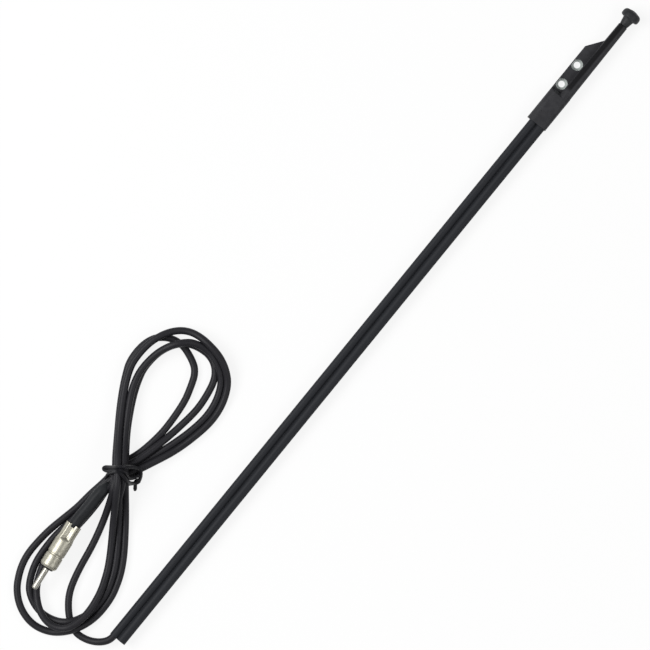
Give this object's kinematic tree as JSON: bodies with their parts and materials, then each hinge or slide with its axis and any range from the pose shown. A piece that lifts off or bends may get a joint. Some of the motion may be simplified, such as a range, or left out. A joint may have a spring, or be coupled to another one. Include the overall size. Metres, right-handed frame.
{
  "type": "car pillar antenna",
  "caption": "Telescopic car pillar antenna: moulded bracket with knob-ended mast, long twin sheath and coiled coaxial lead ending in an aerial plug.",
  "frame": {"origin": "midway between the two screw holes, on the mounting face of the bracket", "axes": "+X along the mast to the knob, +Y to the flange's free edge, +Z off the mounting face"},
  "size_m": [0.4362, 0.0952, 0.0153],
  "materials": {
    "bracket_plastic": "satin moulded",
    "knob_plastic": "satin moulded",
    "sheath_pvc": "extruded, faint lines along it",
    "cable_jacket": "satin",
    "boot_rubber": "satin",
    "tie_plastic": "coated wire",
    "insulator_plastic": "matte",
    "insulation": "matte",
    "zinc_plate": "zinc plated",
    "plated_shell": "nickel plated pressing",
    "plated_pin": "nickel plated",
    "plated_brass": "drawn tube",
    "chrome_tube": "bright chrome",
    "bronze": "turned",
    "copper": "bare wire"
  },
  "bodies": {
    "base": {"bracket": "bracket_plastic", "earth_plate": "zinc_plate", "sheath": "sheath_pvc", "guide_tube": "plated_brass", "tube_end_plug": "bracket_plastic", "contact_clip": "bronze", "coax_cable": "cable_jacket", "coax_insulation": "insulation", "coax_core": "copper", "braid_tail": "copper", "cable_lead": "cable_jacket", "cable_hank": "cable_jacket", "cable_tie": "tie_plastic", "plug_boot": "boot_rubber", "plug_shell": "plated_shell", "plug_insulator": "insulator_plastic", "plug_pin": "plated_pin"},
    "middle_section": {"middle_tube": "chrome_tube", "middle_tube_bush": "bronze", "middle_tube_spring": "bronze"},
    "top_section": {"mast_rod": "chrome_tube", "mast_rod_bush": "bronze", "mast_rod_spring": "bronze", "mast_knob": "knob_plastic"}
  },
  "joints": [
    {"name": "middle_slide", "type": "slide", "parent": "base", "child": "middle_section", "axis": [1, 0, 0], "range_m": [0, 0.368]},
    {"name": "top_slide", "type": "slide", "parent": "middle_section", "child": "top_section", "axis": [1, 0, 0], "range_m": [0, 0.362]}
  ]
}
